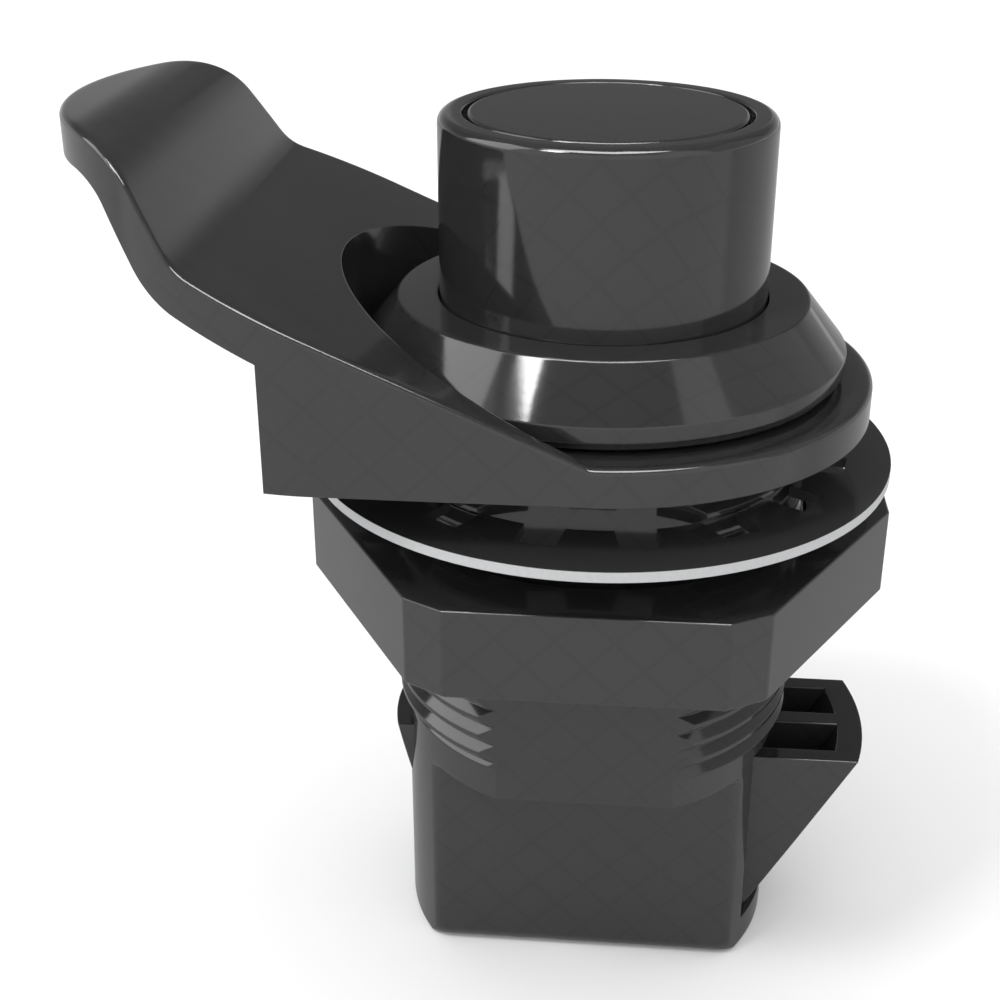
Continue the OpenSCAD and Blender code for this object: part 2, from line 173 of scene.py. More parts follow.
def tube(path: np.ndarray, radius: float, sides: int = 12) -> np.ndarray:
    """Carries a circle along a path, square to it.

    A point is path + radius * (cos b * side + sin b * up), where up is the path's tangent crossed with
    the side vector, and side is the tangent crossed with the path's own coil axis.

    Args:
        path: points along the middle of the wire.
        radius: radius of the wire.
        sides: number of points round the wire.

    Returns:
        An array of points x sides x 3.
    """
    tangent = np.gradient(path, axis=0)
    tangent /= np.linalg.norm(tangent, axis=1, keepdims=True)
    axis = path[-1] - path[0]
    axis = axis / np.linalg.norm(axis)
    side = np.cross(tangent, axis)
    side /= np.linalg.norm(side, axis=1, keepdims=True)
    up = np.cross(tangent, side)
    angle = np.linspace(0, 2 * np.pi, sides, endpoint=False)[None, :, None]
    return path[:, None] + radius * (np.cos(angle) * side[:, None] + np.sin(angle) * up[:, None])


def mesh_from_grid(name: str, grid: np.ndarray, seam: Seam, sharp_angle: float = 32.0) -> bpy.types.Object:
    """Makes a closed mesh from a grid of points in millimetres.

    Args:
        name: name of the new object.
        grid: first parameter x second parameter x 3.
        seam: how the grid closes.
        sharp_angle: angle in degrees above which an edge stays sharp.

    Returns:
        The new object, welded, with its faces pointing outwards.
    """
    rows, columns = grid.shape[:2]
    index = np.arange(rows * columns).reshape(rows, columns)
    if seam is not Seam.WELDED:
        index = np.vstack([index, index[:1]])
    if seam is Seam.TORUS:
        index = np.hstack([index, index[:, :1]])
    faces = np.stack([index[:-1, :-1], index[1:, :-1], index[1:, 1:], index[:-1, 1:]], axis=-1).reshape(-1, 4)
    mesh = bpy.data.meshes.new(name)
    mesh.from_pydata((grid.reshape(-1, 3) * MM).tolist(), [], faces.tolist())
    piece = bpy.data.objects.new(name, mesh)
    bpy.context.scene.collection.objects.link(piece)
    clean(piece, sharp_angle)
    return piece


def clean(piece: bpy.types.Object, sharp_angle: float = 32.0) -> None:
    """Welds doubles, closes open ends, points the faces outwards and sets smooth shading.

    Args:
        piece: the object to clean.
        sharp_angle: angle in degrees above which an edge stays sharp.
    """
    work = bmesh.new()
    work.from_mesh(piece.data)
    bmesh.ops.remove_doubles(work, verts=work.verts, dist=2e-6)
    bmesh.ops.dissolve_degenerate(work, dist=1e-7, edges=work.edges)
    open_edges = [e for e in work.edges if e.is_boundary]
    if open_edges:
        bmesh.ops.holes_fill(work, edges=open_edges, sides=0)
    bmesh.ops.recalc_face_normals(work, faces=work.faces)
    work.to_mesh(piece.data)
    work.free()
    piece.data.shade_smooth()
    piece.data.set_sharp_from_angle(angle=math.radians(sharp_angle))


def prism(name: str, outline: np.ndarray, low: float, high: float, frame_axes: np.ndarray) -> bpy.types.Object:
    """Makes a straight prism: outline point u, v goes to u * first axis + v * second + w * third.

    Args:
        name: name of the new object.
        outline: points of the closed outline, in millimetres.
        low: start along the third axis.
        high: end along the third axis.
        frame_axes: three rows, the directions of u, v and w.

    Returns:
        The new object.
    """
    spread = np.repeat(outline[:, None, :], 2, axis=1)
    depth = np.broadcast_to(np.array([low, high])[None, :, None], spread.shape[:2] + (1,))
    return mesh_from_grid(name, np.concatenate([spread, depth], axis=-1) @ frame_axes, Seam.RING)


ACROSS_Y = np.array([[1, 0, 0], [0, 0, 1], [0, 1, 0]], float)
ACROSS_X = np.array([[0, 1, 0], [0, 0, 1], [1, 0, 0]], float)
UPRIGHT = np.eye(3)


def combine(piece: bpy.types.Object, tool: bpy.types.Object, operation: str) -> None:
    """Cuts or joins a tool solid into a piece and removes the tool.

    Args:
        piece: the object that is changed.
        tool: the other solid.
        operation: DIFFERENCE, UNION or INTERSECT.
    """
    modifier = piece.modifiers.new("shape", "BOOLEAN")
    modifier.operation = operation
    modifier.solver = "EXACT"
    modifier.object = tool
    graph = bpy.context.evaluated_depsgraph_get()
    result = bpy.data.meshes.new_from_object(piece.evaluated_get(graph))
    piece.modifiers.clear()
    piece.data = result
    tool_mesh = tool.data
    bpy.data.objects.remove(tool)
    bpy.data.meshes.remove(tool_mesh)


def dress(piece: bpy.types.Object, body: str, node: str, material: bpy.types.Material) -> bpy.types.Object:
    """Puts a piece on its body in place of a CAD node, with its flat faces shaded flat.

    Args:
        piece: the finished object.
        body: the body that it rides on.
        node: the CAD node that it stands for.
        material: its finish.

    Returns:
        The same piece.
    """
    settle = piece.modifiers.new("normals", "WEIGHTED_NORMAL")
    settle.keep_sharp = True
    graph = bpy.context.evaluated_depsgraph_get()
    piece.data = bpy.data.meshes.new_from_object(piece.evaluated_get(graph))
    piece.modifiers.clear()
    piece.data.materials.clear()
    piece.data.materials.append(material)
    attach(piece, body)
    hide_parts(node)
    LOG.info("%s stands for %s: %d faces", piece.name, node, len(piece.data.polygons))
    return piece


def softened(node: str, name: str, width: float, sharp_angle: float = 30.0) -> bpy.types.Object:
    """Copies a CAD node and rounds its sharp edges.

    Args:
        node: the CAD node.
        name: name of the copy.
        width: width of the rounding in millimetres.
        sharp_angle: angle in degrees above which an edge is rounded.

    Returns:
        The rounded copy.
    """
    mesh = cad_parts[node].data.copy()
    mesh.name = name
    piece = bpy.data.objects.new(name, mesh)
    bpy.context.scene.collection.objects.link(piece)
    work = bmesh.new()
    work.from_mesh(mesh)
    bmesh.ops.remove_doubles(work, verts=work.verts, dist=1e-6)
    bmesh.ops.dissolve_limit(work, angle_limit=math.radians(0.6), verts=work.verts, edges=work.edges)
    work.to_mesh(mesh)
    work.free()
    if mesh.attributes.get("custom_normal"):
        mesh.attributes.remove(mesh.attributes["custom_normal"])
    bevel = piece.modifiers.new("edges", "BEVEL")
    bevel.width = width * MM
    bevel.segments = 3
    bevel.limit_method = "ANGLE"
    bevel.angle_limit = math.radians(sharp_angle)
    graph = bpy.context.evaluated_depsgraph_get()
    piece.data = bpy.data.meshes.new_from_object(piece.evaluated_get(graph))
    piece.modifiers.clear()
    piece.data.shade_smooth()
    piece.data.set_sharp_from_angle(angle=math.radians(32))
    return piece


@dataclass(frozen=True)
class MouldedPlastic:
    """Injection-moulded plastic: a polished tool leaves a smooth skin that mirrors its surroundings softly.

    The black parts are a polycarbonate and ABS blend, so they are nearly black themselves and owe most of
    their light to mirror images. The tracery is the faint net that the moulded skin shows.
    """

    name: str
    colour: str = "#2b2b2b"
    tracery: str = "#191919"
    roughness: float = 0.09
    ior: float = 1.58
    cell_mm: float = 5.2
    line_share: float = 0.09
    tracery_strength: float = 0.24
    edge_mm: float = 0.15
    clouds_per_metre: float = 90.0
    grains_per_metre: float = 1400.0  # coarser than a real moulded skin, so that it shows

    def lines(self, tree: bpy.types.NodeTree, across: bpy.types.NodeSocket) -> bpy.types.NodeSocket:
        """Draws thin soft lines one cell apart along one diagonal.

        Args:
            tree: the material's node tree.
            across: distance across the lines, in metres.

        Returns:
            A socket that is 1 on a line and falls to 0 beside it.
        """
        cells = add_node(tree, "ShaderNodeMath", {"operation": "MULTIPLY"}, {0: across, 1: 1 / (self.cell_mm * MM)})
        wobble = add_node(tree, "ShaderNodeMath", {"operation": "PINGPONG"}, {0: cells.outputs[0], 1: 0.5})
        return add_node(tree, "ShaderNodeMapRange", {"interpolation_type": "SMOOTHSTEP"},
                        {0: wobble.outputs[0], 2: self.line_share, 3: 1.0, 4: 0.0}).outputs[0]

    def build(self) -> bpy.types.Material:
        """Builds the material: faint flow tracery, uneven gloss, soft grain and rounded edge light."""
        material = bpy.data.materials.new(self.name)
        material.use_nodes = True
        tree = material.node_tree
        tree.nodes.clear()
        place = add_node(tree, "ShaderNodeTexCoord").outputs["Object"]
        axes = add_node(tree, "ShaderNodeSeparateXYZ", None, {0: place}).outputs
        depth = add_node(tree, "ShaderNodeMath", {"operation": "ADD"}, {0: axes[1], 1: axes[2]}).outputs[0]
        rising = add_node(tree, "ShaderNodeMath", {"operation": "ADD"}, {0: axes[0], 1: depth}).outputs[0]
        falling = add_node(tree, "ShaderNodeMath", {"operation": "SUBTRACT"}, {0: axes[0], 1: depth}).outputs[0]
        net = add_node(tree, "ShaderNodeMath", {"operation": "MAXIMUM"},
                       {0: self.lines(tree, rising), 1: self.lines(tree, falling)}).outputs[0]
        cloud = add_node(tree, "ShaderNodeTexNoise", None,
                         {"Vector": place, "Scale": self.clouds_per_metre, "Detail": 3.0})
        net_share = add_node(tree, "ShaderNodeMath", {"operation": "MULTIPLY"},
                             {0: net, 1: self.tracery_strength}).outputs[0]
        colour = add_node(tree, "ShaderNodeMix", {"data_type": "RGBA"},
                          {0: net_share, 6: linear(self.colour), 7: linear(self.tracery)}).outputs[2]
        gloss = add_node(tree, "ShaderNodeMapRange", None,
                         {0: cloud.outputs[0], 3: self.roughness * 0.85, 4: self.roughness * 1.2}).outputs[0]
        grain = add_node(tree, "ShaderNodeTexNoise", None,
                         {"Vector": place, "Scale": self.grains_per_metre, "Detail": 2.0})
        rounded = add_node(tree, "ShaderNodeBevel", {"samples": 6}, {"Radius": self.edge_mm * MM})
        bump = add_node(tree, "ShaderNodeBump", None,
                        {"Strength": 0.02, "Distance": 0.0001, "Height": grain.outputs[0],
                         "Normal": rounded.outputs[0]})
        shader = add_node(tree, "ShaderNodeBsdfPrincipled", None,
                          {"Base Color": colour, "Roughness": gloss, "Normal": bump.outputs[0], "IOR": self.ior})
        add_node(tree, "ShaderNodeOutputMaterial", None, {0: shader.outputs[0]})
        return material


@dataclass(frozen=True)
class DrawnSteel:
    """Drawn or stamped spring steel: fine scratches spread its mirror image into a sheen."""

    name: str
    colour: str = "#b4b6ba"
    roughness: float = 0.3
    scratches_per_metre: float = 900.0  # coarser than real drawing marks, so that they show

    def build(self) -> bpy.types.Material:
        """Builds the material: a metal whose gloss and colour vary along fine scratches."""
        material = bpy.data.materials.new(self.name)
        material.use_nodes = True
        tree = material.node_tree
        tree.nodes.clear()
        place = add_node(tree, "ShaderNodeTexCoord").outputs["Object"]
        scratch = add_node(tree, "ShaderNodeTexNoise", None,
                           {"Vector": place, "Scale": self.scratches_per_metre, "Detail": 4.0}).outputs[0]
        dark = tuple(0.75 * c for c in linear(self.colour)[:3]) + (1.0,)
        colour = add_node(tree, "ShaderNodeMix", {"data_type": "RGBA"},
                          {0: scratch, 6: dark, 7: linear(self.colour)}).outputs[2]
        gloss = add_node(tree, "ShaderNodeMapRange", None,
                         {0: scratch, 3: self.roughness * 0.7, 4: self.roughness * 1.3}).outputs[0]
        shader = add_node(tree, "ShaderNodeBsdfPrincipled", None,
                          {"Base Color": colour, "Roughness": gloss, "Metallic": 1.0})
        add_node(tree, "ShaderNodeOutputMaterial", None, {0: shader.outputs[0]})
        return material


@dataclass(frozen=True)
class CoatedStrip:
    """Steel strip with a glossy black baked coating and a ground rim, which is bare and pale."""

    name: str
    coating: str = "#303030"
    edge: str = "#bcbdbe"
    rim_mm: float = 27.0
    roughness: float = 0.06
    edge_roughness: float = 0.55
    edge_dulling: float = 0.84
    grit_per_metre: float = 2600.0

    def build(self) -> bpy.types.Material:
        """Builds the material: bare metal on upright faces beyond the rim's radius, the coating elsewhere."""
        material = bpy.data.materials.new(self.name)
        material.use_nodes = True
        tree = material.node_tree
        tree.nodes.clear()
        place = add_node(tree, "ShaderNodeTexCoord").outputs["Object"]
        facing = add_node(tree, "ShaderNodeNewGeometry").outputs["True Normal"]
        upward = add_node(tree, "ShaderNodeSeparateXYZ", None, {0: facing}).outputs[2]
        level = add_node(tree, "ShaderNodeMath", {"operation": "ABSOLUTE"}, {0: upward}).outputs[0]
        upright = add_node(tree, "ShaderNodeMath", {"operation": "LESS_THAN"}, {0: level, 1: 0.6}).outputs[0]
        flat = add_node(tree, "ShaderNodeVectorMath", {"operation": "MULTIPLY"}, {0: place, 1: (1, 1, 0)}).outputs[0]
        away = add_node(tree, "ShaderNodeVectorMath", {"operation": "LENGTH"}, {0: flat}).outputs["Value"]
        outer = add_node(tree, "ShaderNodeMath", {"operation": "GREATER_THAN"},
                         {0: away, 1: self.rim_mm * MM}).outputs[0]
        bare = add_node(tree, "ShaderNodeMath", {"operation": "MULTIPLY"}, {0: upright, 1: outer}).outputs[0]
        grit = add_node(tree, "ShaderNodeTexNoise", None,
                        {"Vector": place, "Scale": self.grit_per_metre, "Detail": 2.0}).outputs[0]
        dull = tuple(self.edge_dulling * c for c in linear(self.edge)[:3]) + (1.0,)
        pale = add_node(tree, "ShaderNodeMix", {"data_type": "RGBA"},
                        {0: grit, 6: dull, 7: linear(self.edge)}).outputs[2]
        colour = add_node(tree, "ShaderNodeMix", {"data_type": "RGBA"},
                          {0: bare, 6: linear(self.coating), 7: pale}).outputs[2]
        gloss = add_node(tree, "ShaderNodeMapRange", None,
                         {0: bare, 3: self.roughness, 4: self.edge_roughness}).outputs[0]
        shader = add_node(tree, "ShaderNodeBsdfPrincipled", None, {"Base Color": colour, "Roughness": gloss})
        add_node(tree, "ShaderNodeOutputMaterial", None, {0: shader.outputs[0]})
        return material


@dataclass
class PushKnob:
    """The knob barrel with its cap disc let into the top."""

    radius: float = 15.32
    top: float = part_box("knob")[1].z / MM
    low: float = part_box("knob")[0].z / MM
    edge: float = 0.9
    skirt_bore: float = 13.02
    cap_radius: float = 12.65
    cap_seat: float = 13.05
    cap_thickness: float = 1.6
    cap_edge: float = 0.35
    seat_bore: float = 11.8
    web_depth: float = 3.85
    web_thickness: float = 3.0
    boss_radius: float = 6.0
    boss_depth: float = 7.4
    screw_hole: float = 2.6
    spigot: tuple[float, float, float] = (10.6, 11.5, 1.6)

    def barrel(self) -> bpy.types.Object:
        """Turns the barrel: skirt, rounded rim, cap seat, web and screw boss."""
        seat = self.top - self.cap_thickness
        web = seat - self.web_depth
        boss = web - self.boss_depth
        under_web = web - self.web_thickness
        profile = rounded_path([
            (self.skirt_bore, self.low, 0), (self.radius, self.low, 0.4), (self.radius, self.top, self.edge),
            (self.cap_seat, self.top, 0.25), (self.cap_seat, seat, 0), (self.seat_bore, seat, 0),
            (self.seat_bore, web, 0.4), (self.screw_hole, web, 0), (self.screw_hole, boss, 0),
            (self.boss_radius, boss, 0), (self.boss_radius, under_web, 0.4), (self.skirt_bore, under_web, 0.4),
            (self.skirt_bore, self.low + 0.01, 0),
        ])
        return mesh_from_grid("knob_barrel", turned(profile), Seam.TORUS)

    def cap(self) -> bpy.types.Object:
        """Turns the cap disc, flat with a rounded rim and a spigot below."""
        seat = self.top - self.cap_thickness
        inner, outer, length = self.spigot
        profile = rounded_path([
            (0, seat, 0), (inner, seat, 0), (inner, seat - length, 0), (outer, seat - length, 0), (outer, seat, 0),
            (self.cap_radius, seat, 0), (self.cap_radius, self.top, self.cap_edge), (0, self.top, 0),
        ])
        return mesh_from_grid("cap_disc", turned(profile), Seam.RING)


@dataclass
class Collar:
    """The conical cap ring round the knob."""

    radius: float = 22.88
    foot_radius: float = 22.3
    foot_top: float = 9.12
    cone_foot: float = 10.62
    top_radius: float = 19.2
    top_rise: float = 0.1
    shank_end: float = 12.3

    def ring(self) -> bpy.types.Object:
        """Turns the ring: small step under the upright side, cone, level top and stepped bore."""
        low, high = (corner.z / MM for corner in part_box("collar"))
        high += self.top_rise
        profile = rounded_path([
            (SHANK_HOLE, low + 1, 0), (SHANK_HOLE, low, 0.1), (self.foot_radius, low, 0.1),
            (self.foot_radius, self.foot_top, 0.1), (self.radius, self.foot_top, 0.2),
            (self.radius, self.cone_foot, 0.3), (self.top_radius, high, 0.35), (KNOB_HOLE, high, 0.25),
            (KNOB_HOLE, self.shank_end, 0), (SHANK_HOLE, self.shank_end, 0),
        ])
        return mesh_from_grid("collar_ring", turned(profile), Seam.TORUS)


@dataclass
class FingerGrip:
    """Ring, skirt and raised paddle, moulded in one."""

    radius: float = 25.55
    reach: float = 48.85
    low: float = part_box("finger_grip")[0].z / MM
    ring_top: float = 8.03
    slope: float = 23.85
    steep: float = 59.0
    bend_x: float = 34.21
    tip: float = 32.88
    bend_radius: float = 5.0
    tip_radius: float = 8.0
    thickness: float = 3.65
    skirt_end: float = 27.3
    skirt_wall: float = 2.6
    roof_rise: float = 0.429
    pocket: float = 24.3
    edge: float = 0.6
    foot_edge: float = 0.3
    hole_flats: float = 17.48

    def run(self, drop: float) -> np.ndarray:
        """Works out the paddle's profile: a slope, a steep climb and a level tip joined by arcs.

        Args:
            drop: distance under the top face, measured square to it.

        Returns:
            Points from the ring to beyond the tip, x and z in millimetres.
        """
        slope, steep = math.radians(self.slope), math.radians(self.steep)
        foot = np.array([0.0, self.ring_top])
        bend = np.array([-self.bend_x, self.ring_top + math.tan(slope) * self.bend_x])
        crown = np.array([bend[0] - (self.tip - bend[1]) / math.tan(steep), self.tip])

        def under(corner: np.ndarray, first: float, second: float) -> np.ndarray:
            """Moves a corner under the path."""
            middle = (first + second) / 2
            return corner - drop / math.cos((second - first) / 2) * np.array([math.sin(middle), math.cos(middle)])

        start = foot - drop * np.array([math.sin(slope), math.cos(slope)])
        end = np.array([-self.reach - 4, self.tip - drop])
        corners = [(*start, 0), (*under(bend, slope, steep), self.bend_radius + drop),
                   (*under(crown, steep, 0), self.tip_radius - drop), (*end, 0)]
        return rounded_path(corners, steps=24)

    def top_height(self, x: np.ndarray) -> np.ndarray:
        """Height of the top face at each x, level with the ring for x above 0."""
        path = self.run(0)[::-1]
        return np.interp(x, path[:, 0], path[:, 1])

    def shell(self) -> bpy.types.Object:
        """Builds the grip: inset copies of the outline lifted to the top face, then cut to shape.

        A point at inset d from the outline lies at the spine point plus (radius - d) times the outward
        direction. Its height is the top face's, less the quarter round r - sqrt(r^2 - (r - d)^2).
        """
        tip_centre = self.reach - self.radius
        arc = np.linspace(-np.pi / 2, np.pi / 2, 181)
        straight = np.linspace(0, 1, 61)[1:-1]
        spine_x = np.concatenate([0 * arc, -tip_centre * straight, 0 * arc - tip_centre, -tip_centre * (1 - straight)])
        angle = np.concatenate([arc, 0 * straight + np.pi / 2, arc + np.pi, 0 * straight + 1.5 * np.pi])
        rim = self.edge * (1 - np.cos(np.linspace(0, np.pi / 2, 7)))
        insets = np.concatenate([rim, np.linspace(self.edge, self.radius, 50)[1:]])
        outward = self.radius - insets[None, :]
        x = spine_x[:, None] + outward * np.cos(angle)[:, None]
        y = outward * np.sin(angle)[:, None]
        gap = np.maximum(self.edge - insets, 0)
        rounding = self.edge - np.sqrt(np.maximum(self.edge ** 2 - gap ** 2, 0))[None, :]
        top = np.stack([x, y, self.top_height(x) - rounding], axis=-1)
        foot = top[:, :1].copy()
        foot[..., 2] = self.low + self.foot_edge
        toe = top[:, 6:7].copy()
        toe[..., 2] = self.low
        centre = top[:, -1:].copy()
        centre[..., 2] = self.low
        piece = mesh_from_grid("grip_shell", np.concatenate([centre, toe, foot, top], axis=1), Seam.RING)
        self.cut_underside(piece)
        self.cut_pocket(piece)
        clean(piece)
        return piece

    def cut_underside(self, piece: bpy.types.Object) -> None:
        """Clears the space under the paddle and the two hollows in the skirt's corners.

        Each hollow lies outside a circle round the shank, inside the skirt's walls, and its roof rises
        with the paddle.
        """
        under = self.run(self.thickness)
        under = under[under[:, 0] < -self.skirt_end]
        slope = math.tan(math.radians(self.slope))
        roof = self.ring_top + slope * self.skirt_end - self.thickness / math.cos(math.radians(self.slope))
        outline = np.vstack([[[-self.skirt_end, 0], [-self.skirt_end, roof]], under, [[-self.reach - 4, 0]]])
        combine(piece, prism("paddle_space", outline, -30, 30, ACROSS_Y), "DIFFERENCE")
        inner, side = self.pocket + self.skirt_wall, self.radius - self.skirt_wall
        end = self.skirt_end - self.skirt_wall
        angle = np.linspace(math.acos(end / inner), math.asin(side / inner), 25)
        edge = np.column_stack([-inner * np.cos(angle), inner * np.sin(angle)])
        plan = np.vstack([edge, [[-end, side]]])
        for turn in (1, -1):
            low = np.column_stack([plan[:, 0], turn * plan[:, 1], np.zeros(len(plan))])
            high = low + np.outer(self.ring_top - self.thickness - self.roof_rise * plan[:, 0], [0, 0, 1])
            combine(piece, mesh_from_grid("hollow_tool", np.stack([low, high], axis=1), Seam.RING), "DIFFERENCE")

    def cut_pocket(self, piece: bpy.types.Object) -> None:
        """Sinks the round pocket and the flatted hole for the shank."""
        well = turned(np.array([[0, self.ring_top], [self.pocket, self.ring_top], [self.pocket, 40], [0, 40]]), 256)
        combine(piece, mesh_from_grid("pocket_tool", well, Seam.RING), "DIFFERENCE")
        angle = np.linspace(0, 2 * np.pi, 256, endpoint=False)
        hole = SHANK_HOLE * np.stack([np.cos(angle), np.sin(angle)], axis=-1)
        hole[:, 1] = np.clip(hole[:, 1], -self.hole_flats, self.hole_flats)
        combine(piece, prism("hole_tool", hole, 2, 10, UPRIGHT), "DIFFERENCE")


@dataclass
class FixingNut:
    """The hexagon nut with cut-off corners."""

    flats: float = 51.3
    corners: float = 56.8
    edge: float = 0.25
    bore_edge: float = 0.3

    def ring(self) -> bpy.types.Object:
        """Builds the nut: each side at distance a and angle p gives radius (a - d) / cos(angle - p)."""
        low, high = (corner.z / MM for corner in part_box("fixing_nut"))
        angle = np.linspace(0, 2 * np.pi, 720, endpoint=False)[:, None]
        path = rounded_path([(1, low, 0), (0, low, self.edge), (0, high, self.edge), (1, high, 0)], 4)
        inset = path[None, :, 0]
        sides = [(self.flats / 2, np.pi / 6 + k * np.pi / 3) for k in range(6)]
        sides += [(self.corners / 2, k * np.pi / 3) for k in range(6)]
        reach = np.full((angle.shape[0], path.shape[0]), 1e3)
        for distance, direction in sides:
            lean = np.cos(angle - direction)
            reach = np.minimum(reach, np.where(lean > 0.2, (distance - inset) / np.maximum(lean, 0.2), 1e3))
        outer = np.stack([reach * np.cos(angle), reach * np.sin(angle), path[None, :, 1] + 0 * angle], axis=-1)
        flare = SHANK_HOLE + self.bore_edge
        bore_path = np.array([[flare, high], [SHANK_HOLE, high - self.bore_edge], [SHANK_HOLE, low + self.bore_edge],
                              [flare, low]])
        inner = turned(bore_path, 720)
        return mesh_from_grid("nut_ring", np.concatenate([outer, inner], axis=1), Seam.TORUS, 12)


@dataclass
class Housing:
    """The threaded shank and the bolt case below it, moulded in one."""

    crest: float = 19.97
    depth: float = 0.8
    pitch: float = 2.0
    flats: float = 17.18
    root_height: float = -21.05
    root_angle: float = 243.7
    thread_end: float = -27.5
    thread_top: float = 3.2
    step: float = -31.13
    top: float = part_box("housing")[1].z / MM
    low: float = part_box("housing")[0].z / MM
    case_flats: float = 11.8
    case_round: float = 2.0
    end_round: float = 0.5
    ledge_round: float = 0.9
    side_blend: float = 1.1
    channel_reach: tuple[float, float, float] = (-16.5, 15.2, 21.2)
    channel_half: float = 8.15
    channel_low: float = -50.3
    channel_top: float = -29.9
    bore: float = 12.8
    bore_floor: float = -27.9
    knob_bore_floor: float = -3.9
    prong_slot: tuple[float, float, float] = (-6.0, 3.3, 5.9)

    def thread(self) -> bpy.types.Object:
        """Builds the round threaded bar.

        A row of the grid climbs one pitch each turn. The radius is core + min(distance to the root,
        depth), so the rows lie on the roots, flanks and crests, and rows past either end are held there.
        """
        core = self.crest - self.depth
        angle = np.radians(np.linspace(0, 360, 241))[:, None]
        lift = self.pitch * (np.degrees(angle) - self.root_angle) / 360
        turns = np.arange(math.floor((self.thread_end - self.root_height) / self.pitch) - 1,
                          math.ceil((self.thread_top - self.root_height) / self.pitch) + 2)
        profile = np.array([0, 0.1, self.depth, self.depth + 0.05, self.pitch - self.depth - 0.05,
                            self.pitch - self.depth, self.pitch - 0.1])
        rows = (turns[:, None] * self.pitch + profile[None, :]).ravel() + self.root_height
        height = np.clip(rows[None, :] + lift, self.thread_end, self.thread_top)
        phase = np.mod(height - lift - self.root_height, self.pitch)
        close = np.clip((self.thread_top - height) / self.depth, 0, 1)
        ridge = np.minimum(np.minimum(phase, self.pitch - phase), self.depth)
        radius = core + np.maximum(ridge, self.depth * (1 - close))
        bar = np.stack([radius * np.cos(angle), radius * np.sin(angle), height], axis=-1)
        ends = np.array([[0, self.step], [core, self.step], [core, self.thread_end]])
        head = np.array([[self.crest, self.thread_top], [self.crest, self.top], [0, self.top]])

        def lathe(path: np.ndarray) -> np.ndarray:
            """Turns an end of the bar with the thread's own angles."""
            reach, level = path[:, 0], path[:, 1] + 0 * angle
            return np.stack([reach * np.cos(angle), reach * np.sin(angle), level], axis=-1)

        grid = np.concatenate([lathe(ends), bar, lathe(head)], axis=1)
        return mesh_from_grid("housing_moulding", grid, Seam.WELDED)

    def case(self) -> bpy.types.Object:
        """Builds the case: radius min(core - e, (flat - f) / |sin a|), blended where the two meet.

        A rounding r draws a side in by r - sqrt(r^2 - (r - h)^2) at height h above the underside. The same
        quarter circle lets the flat sides out again in the hollow corner under the shank.
        """
        core = self.crest - self.depth
        angle = np.linspace(0, 2 * np.pi, 480, endpoint=False)[:, None]
        turn = np.linspace(0, np.pi / 2, 9)
        height = np.concatenate([
            [self.step + 0.6], self.step - self.ledge_round * (1 - np.cos(turn)), [self.low + 8],
            self.low + self.case_round * (1 - np.sin(turn)), self.low + self.end_round * (1 - np.sin(turn[::2])),
        ])
        height = np.unique(height)[::-1][None, :]

        def quarter(radius: float, gap: np.ndarray) -> np.ndarray:
            """Depth of a quarter circle at a distance from the plane that it ends on."""
            return radius - np.sqrt(radius ** 2 - np.clip(radius - gap, 0, radius) ** 2)

        above = height - self.low
        let_out = quarter(self.ledge_round, np.maximum(self.step - height, 0))
        flat = (self.case_flats - quarter(self.case_round, above) + let_out) / np.maximum(np.abs(np.sin(angle)), 0.05)
        arc = core - quarter(self.end_round, above) + 0 * angle
        overlap = np.maximum(self.side_blend - np.abs(flat - arc), 0) / self.side_blend
        radius = np.minimum(flat, arc) - overlap ** 2 * self.side_blend / 4
        block = np.stack([radius * np.cos(angle), radius * np.sin(angle), height + 0 * angle], axis=-1)
        roof, floor = block[:, :1] * [0, 0, 1], block[:, -1:] * [0, 0, 1]
        return mesh_from_grid("case_tool", np.concatenate([roof, block, floor], axis=1), Seam.RING)

    def moulding(self) -> bpy.types.Object:
        """Joins shank and case, then cuts the flats, the bores, the bolt's channel and the tail's window."""
        piece = self.thread()
        sheet = np.array([[-30, -self.flats], [30, -self.flats], [30, self.flats], [-30, self.flats]])
        combine(piece, prism("flats_tool", sheet, self.step - 5, self.top + 5, UPRIGHT), "INTERSECT")
        combine(piece, self.case(), "UNION")
        back, throat, mouth = self.channel_reach
        half = self.channel_half
        wide = half + mouth - throat
        channel = np.array([[back, -half], [throat, -half], [mouth, -wide], [mouth, wide], [throat, half],
                            [back, half]])
        combine(piece, prism("channel_tool", channel, self.channel_low, self.channel_top, UPRIGHT), "DIFFERENCE")
        corners = np.array([[6.8, -29.6], [5.9, -34], [4.7, -37.4], [3.2, -39]])
        window = np.vstack([corners[0] * [-1, 1], corners, corners[:0:-1] * [-1, 1]])
        combine(piece, prism("window_tool", window, -30, -10, ACROSS_X), "DIFFERENCE")
        well = np.array([[0, self.bore_floor], [self.bore, self.bore_floor], [self.bore, self.knob_bore_floor],
                         [KNOB_HOLE, self.knob_bore_floor], [KNOB_HOLE, 20], [0, 20]])
        combine(piece, mesh_from_grid("bore_tool", turned(well, 160), Seam.RING), "DIFFERENCE")
        left, right, side = self.prong_slot
        slot = np.array([[left, -side], [right, -side], [right, side], [left, side]])
        combine(piece, prism("prong_tool", slot, -31, -27, UPRIGHT), "DIFFERENCE")
        clean(piece, 25)
        return piece


